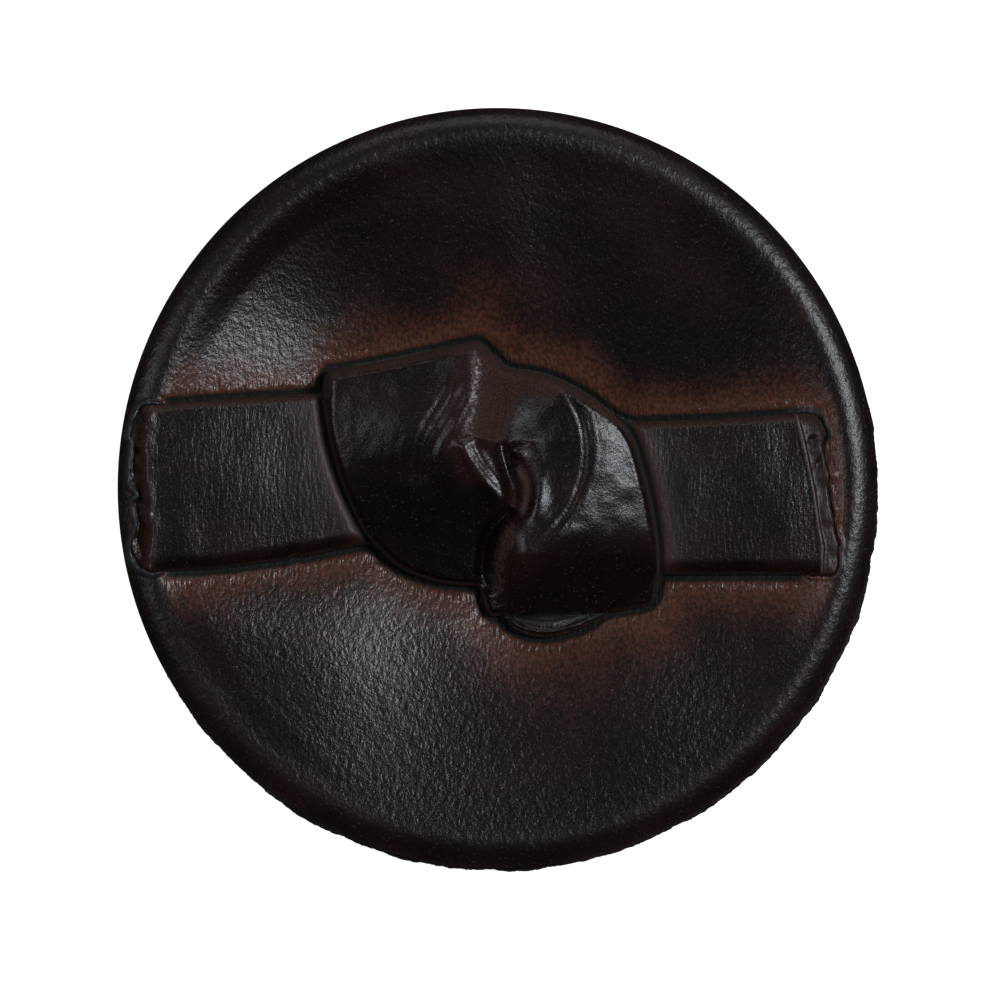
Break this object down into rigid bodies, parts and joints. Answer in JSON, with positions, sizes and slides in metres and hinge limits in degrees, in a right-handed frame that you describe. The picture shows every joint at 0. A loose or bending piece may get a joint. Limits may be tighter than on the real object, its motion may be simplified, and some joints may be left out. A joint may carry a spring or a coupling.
{
  "type": "leather shank button",
  "caption": "Large round leather coat button with a rounded rim, an overhand-knotted leather strap across its face, and a wire shank.",
  "frame": {"origin": "centre of the thread eye's hole, where the thread holds the button", "axes": "+Z out of the face, +X along the strap from its left end to its right end, +Y up the face; the thread runs through the eye along Y"},
  "size_m": [0.0381, 0.0382, 0.0141],
  "materials": {
    "face_leather": "dark brown grained leather, satin, rubbed reddish round the strap",
    "strap_leather": "dark brown smooth leather, satin, browner on its edges",
    "leatherboard": "matt bonded leather board",
    "backing_leather": "matt split leather with a rough cut edge",
    "washer_brass": "antiqued pressed brass",
    "plate_steel": "plain stamped steel",
    "wire_brass": "antiqued drawn brass wire"
  },
  "bodies": {
    "root": {"face_disc": "face_leather", "knotted_strap": "strap_leather", "core_disc": "leatherboard", "backing_disc": "backing_leather", "back_washer": "washer_brass", "anchor_plate": "plate_steel", "shank_loop": "wire_brass"}
  },
  "joints": []
}
